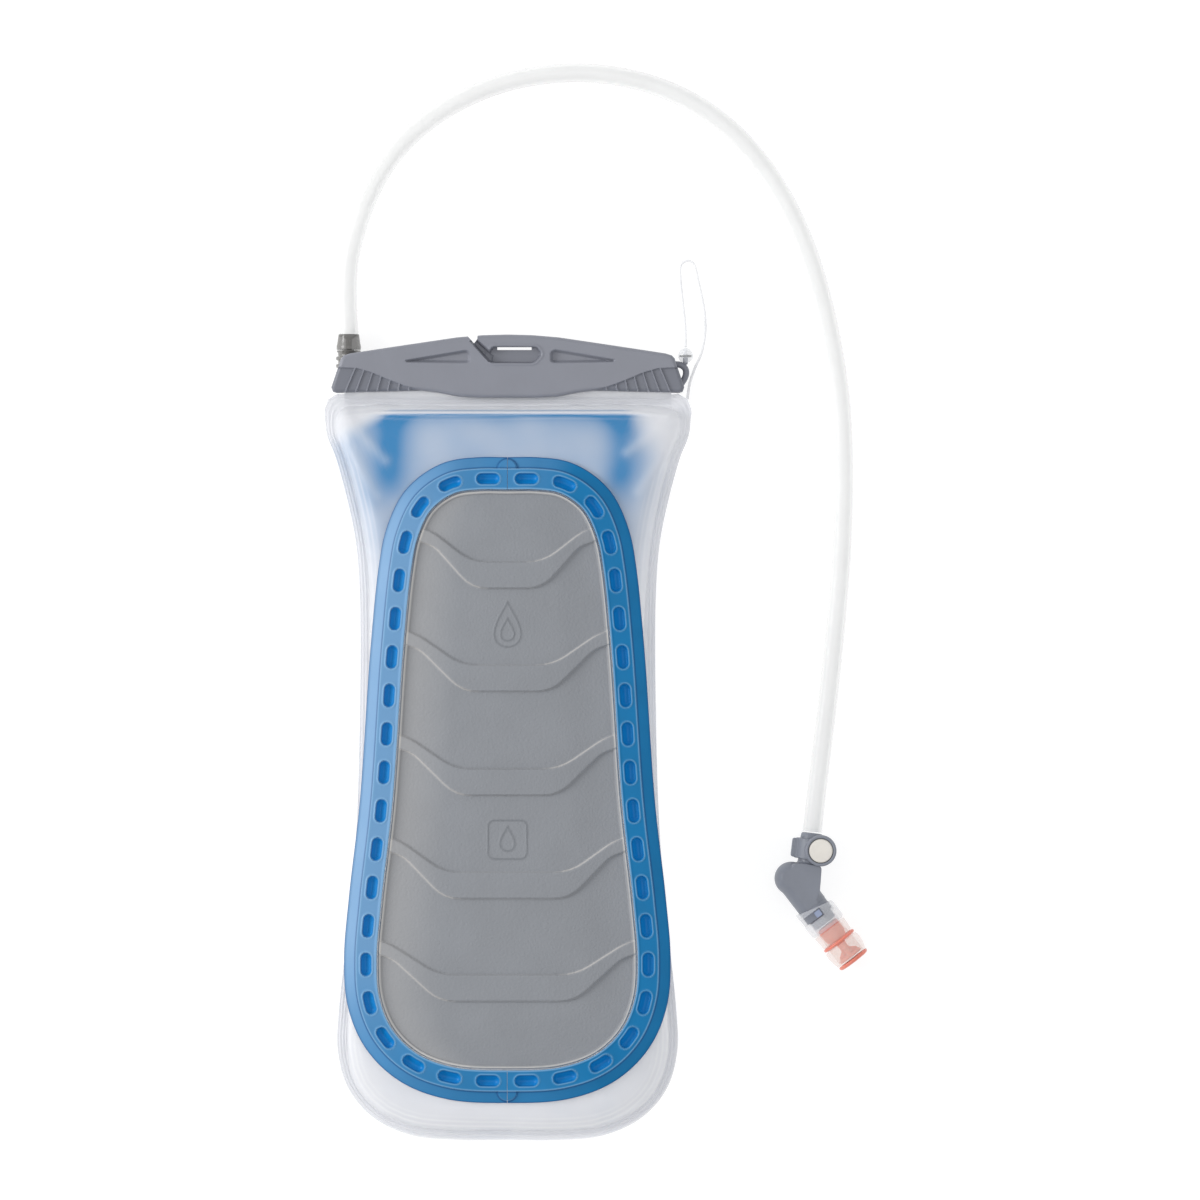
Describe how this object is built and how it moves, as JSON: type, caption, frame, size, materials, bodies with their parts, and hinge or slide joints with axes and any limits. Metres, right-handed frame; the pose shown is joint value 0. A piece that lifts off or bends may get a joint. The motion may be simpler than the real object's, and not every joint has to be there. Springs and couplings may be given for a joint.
{
  "type": "hydration bladder",
  "caption": "Soft film water reservoir with a slide-on top closure, a stiff framed back panel and a drinking hose that ends in a twist-shut bite valve.",
  "frame": {"origin": "centre of the bladder's outline, on the surface that it lies on, leaving out the drinking hose, its fittings and the tether", "axes": "+X across the bladder, +Y from the base towards the closure, +Z out of the back panel, up from the surface that the bladder lies on"},
  "size_m": [0.2655, 0.5278, 0.056],
  "materials": {
    "film": "frosted translucent polyurethane film with a satin surface",
    "clear_moulding": "clear moulded polyurethane, glossy",
    "grey_plastic": "satin moulded grey nylon",
    "smoke_plastic": "smoked clear plastic, glossy",
    "seal_rubber": "matte black rubber",
    "hose_wall": "clear flexible polyurethane, glossy",
    "panel_grey": "fine-grained matte grey sheet with embossed ribs",
    "frame_blue": "satin blue moulded polyurethane",
    "magnet_cover": "cream cover over a disc magnet",
    "red_silicone": "coral red silicone rubber, satin"
  },
  "bodies": {
    "reservoir": {"back_film": "film", "front_film": "film", "bottom_gusset": "film", "mouth_rail_back": "clear_moulding", "mouth_rail_front": "clear_moulding", "port_flange": "grey_plastic", "port_elbow": "grey_plastic", "port_seal": "seal_rubber", "lower_hose": "hose_wall", "coupler_socket": "clear_moulding", "tether_anchor": "clear_moulding", "back_panel": "panel_grey", "frame_left": "frame_blue", "frame_right": "frame_blue"},
    "closure": {"slider": "grey_plastic", "tether_bead": "clear_moulding", "tether": "hose_wall"},
    "drinking_tube": {"coupler_plug": "smoke_plastic", "coupler_seal": "seal_rubber", "drinking_hose": "hose_wall", "valve_elbow": "grey_plastic"},
    "bite_valve": {"shutoff_collar": "clear_moulding", "bite_sleeve": "clear_moulding", "bite_core": "red_silicone", "bite_band": "red_silicone", "bite_tip": "red_silicone"},
    "clip": {"magnet_clip": "grey_plastic", "magnet": "magnet_cover"}
  },
  "joints": [
    {"name": "closure_slide", "type": "slide", "parent": "reservoir", "child": "closure", "axis": [1, 0, 0], "range_m": [0, 0.176], "deforming": ["tether"]},
    {"name": "coupler_pull", "type": "slide", "parent": "reservoir", "child": "drinking_tube", "axis": [0, 1, 0], "range_m": [0, 0.03]},
    {"name": "valve_twist", "type": "hinge", "parent": "drinking_tube", "child": "bite_valve", "pos_m": [0.1392, -0.0701, 0.0097], "axis": [-0.6088, 0.7934, 0], "range_deg": [0, 90]},
    {"name": "clip_swivel", "type": "hinge", "parent": "drinking_tube", "child": "clip", "pos_m": [0.14935, -0.0475, 0.0097], "axis": [0.1184, 0.993, 0], "range_deg": [-90, 90]}
  ]
}
